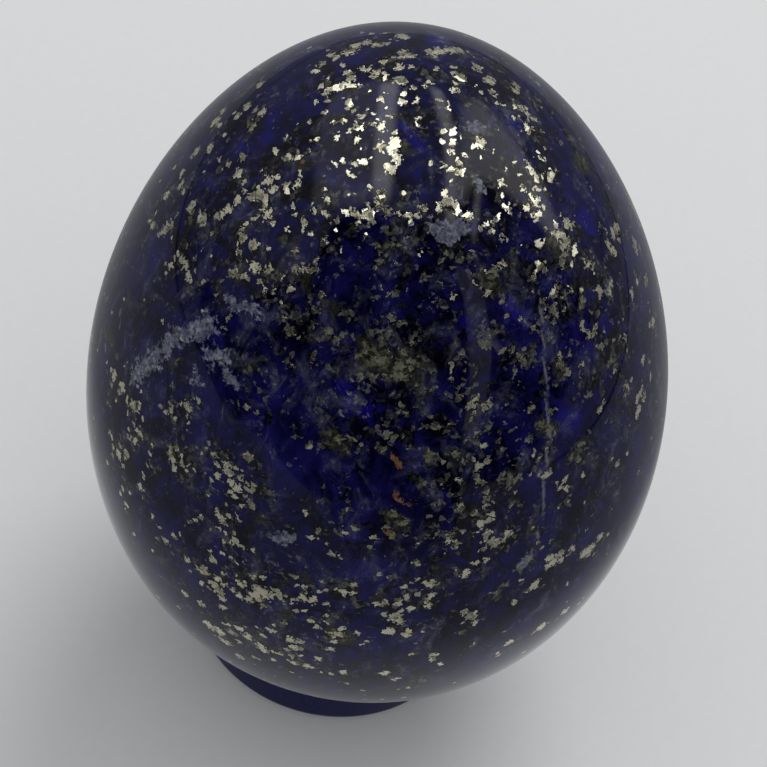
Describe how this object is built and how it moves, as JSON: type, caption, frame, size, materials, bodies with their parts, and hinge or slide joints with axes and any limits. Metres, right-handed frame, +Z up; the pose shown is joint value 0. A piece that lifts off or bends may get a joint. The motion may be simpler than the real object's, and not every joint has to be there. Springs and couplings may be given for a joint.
{
  "type": "polished lapis lazuli egg on a ring stand",
  "caption": "Polished lapis lazuli egg standing narrow end up in a low glossy dark blue ring stand.",
  "frame": {"origin": "on the surface that the ring stands on, under the middle of the whole object's box", "axes": "+Z up through the egg's narrow end; the view in the picture looks from -Y and above, with +X to its right; the egg leans a few degrees towards -X"},
  "size_m": [0.0484, 0.0484, 0.0654],
  "materials": {
    "lapis": "polished, deep ultramarine with brassy pyrite grains, olive-grey patches and a few pale calcite veins",
    "ring_plastic": "smooth moulded, glossy dark navy"
  },
  "bodies": {
    "root": {"lapis_egg": "lapis", "ring_stand": "ring_plastic"}
  },
  "joints": []
}
